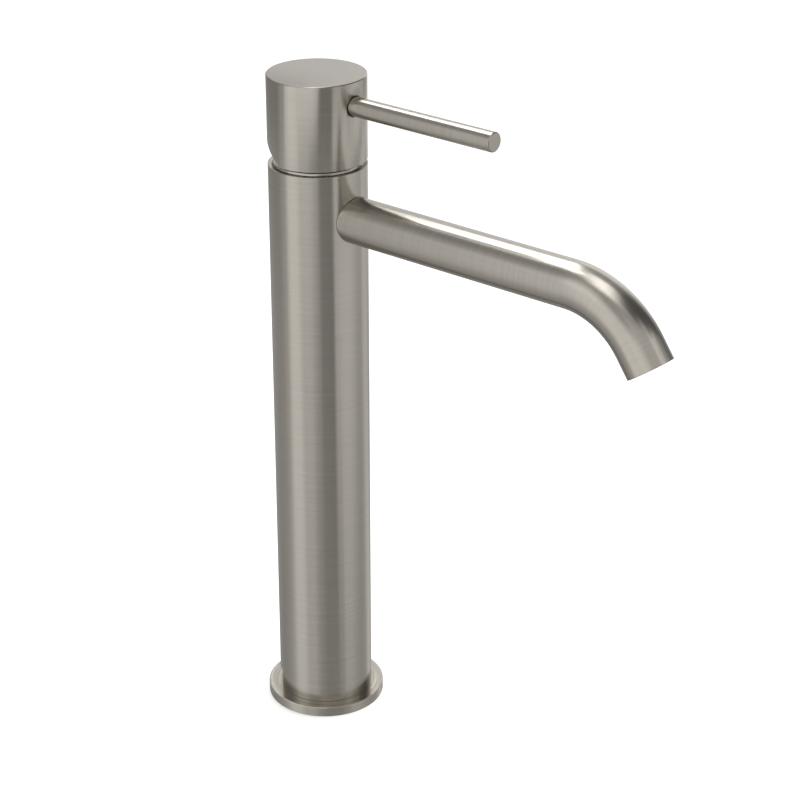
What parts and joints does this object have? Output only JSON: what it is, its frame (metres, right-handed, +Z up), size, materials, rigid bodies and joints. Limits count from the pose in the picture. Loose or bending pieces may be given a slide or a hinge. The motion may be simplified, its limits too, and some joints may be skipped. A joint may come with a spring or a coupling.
{
  "type": "tall single-lever basin mixer tap",
  "caption": "Tall round-column basin mixer tap with a fixed tube spout, bent down at its end, and a pin lever on a cap that lifts to open and turns to mix.",
  "frame": {"origin": "centre of the flange's underside, where the tap stands on its deck", "axes": "+Z up along the column, +X forwards, the way the spout and the lever point, +Y to the left of someone behind the tap looking along the spout"},
  "size_m": [0.2188, 0.0564, 0.3163],
  "materials": {
    "brushed_nickel": "brushed warm-grey nickel, lines around the column and along the rings",
    "brass": "turned, bare",
    "pipe_steel": "drawn tube",
    "stem_steel": "machined",
    "seal_rubber": "moulded nitrile rubber",
    "pale_plastic": "moulded",
    "dark_plastic": "moulded",
    "ceramic": "lapped alumina ceramic, opaque"
  },
  "bodies": {
    "body": {"base_flange": "brushed_nickel", "column_tube": "brushed_nickel", "spout_tube": "brushed_nickel", "foot_plug": "brass", "valve_body": "brass", "spout_nipple": "brass", "tip_ring": "brass", "cartridge_nut": "brass", "hot_pipe": "pipe_steel", "cold_pipe": "pipe_steel", "aerator_screen": "stem_steel", "deck_seal": "seal_rubber", "spout_seal": "seal_rubber", "aerator_seal": "seal_rubber", "port_seals": "seal_rubber", "aerator_housing": "pale_plastic", "aerator_grid": "pale_plastic", "flow_regulator": "pale_plastic", "cartridge_case": "dark_plastic", "port_plate": "dark_plastic", "cover_ring": "brushed_nickel", "fixed_disc": "ceramic"},
    "rotor": {"stem_guide": "dark_plastic", "stem_pin": "stem_steel"},
    "lever": {"lever_cap": "brushed_nickel", "lever_pin": "brushed_nickel", "grub_screw": "stem_steel", "stem": "stem_steel"},
    "disc": {"disc_carrier": "dark_plastic", "moving_disc": "ceramic"}
  },
  "joints": [
    {"name": "mix_turn", "type": "hinge", "parent": "body", "child": "rotor", "pos_m": [0, 0, 0.27952], "axis": [0, 0, 1], "range_deg": [-50, 50]},
    {"name": "lever_lift", "type": "hinge", "parent": "rotor", "child": "lever", "pos_m": [0, 0, 0.27952], "axis": [0, -1, 0], "range_deg": [0, 25]},
    {"name": "disc_slide", "type": "slide", "parent": "rotor", "child": "disc", "axis": [1, 0, 0], "range_m": [0, 0.00425]}
  ],
  "couplings": [
    {"joint": "disc_slide", "follows": "lever_lift", "m_per_rad": 0.0096857}
  ]
}
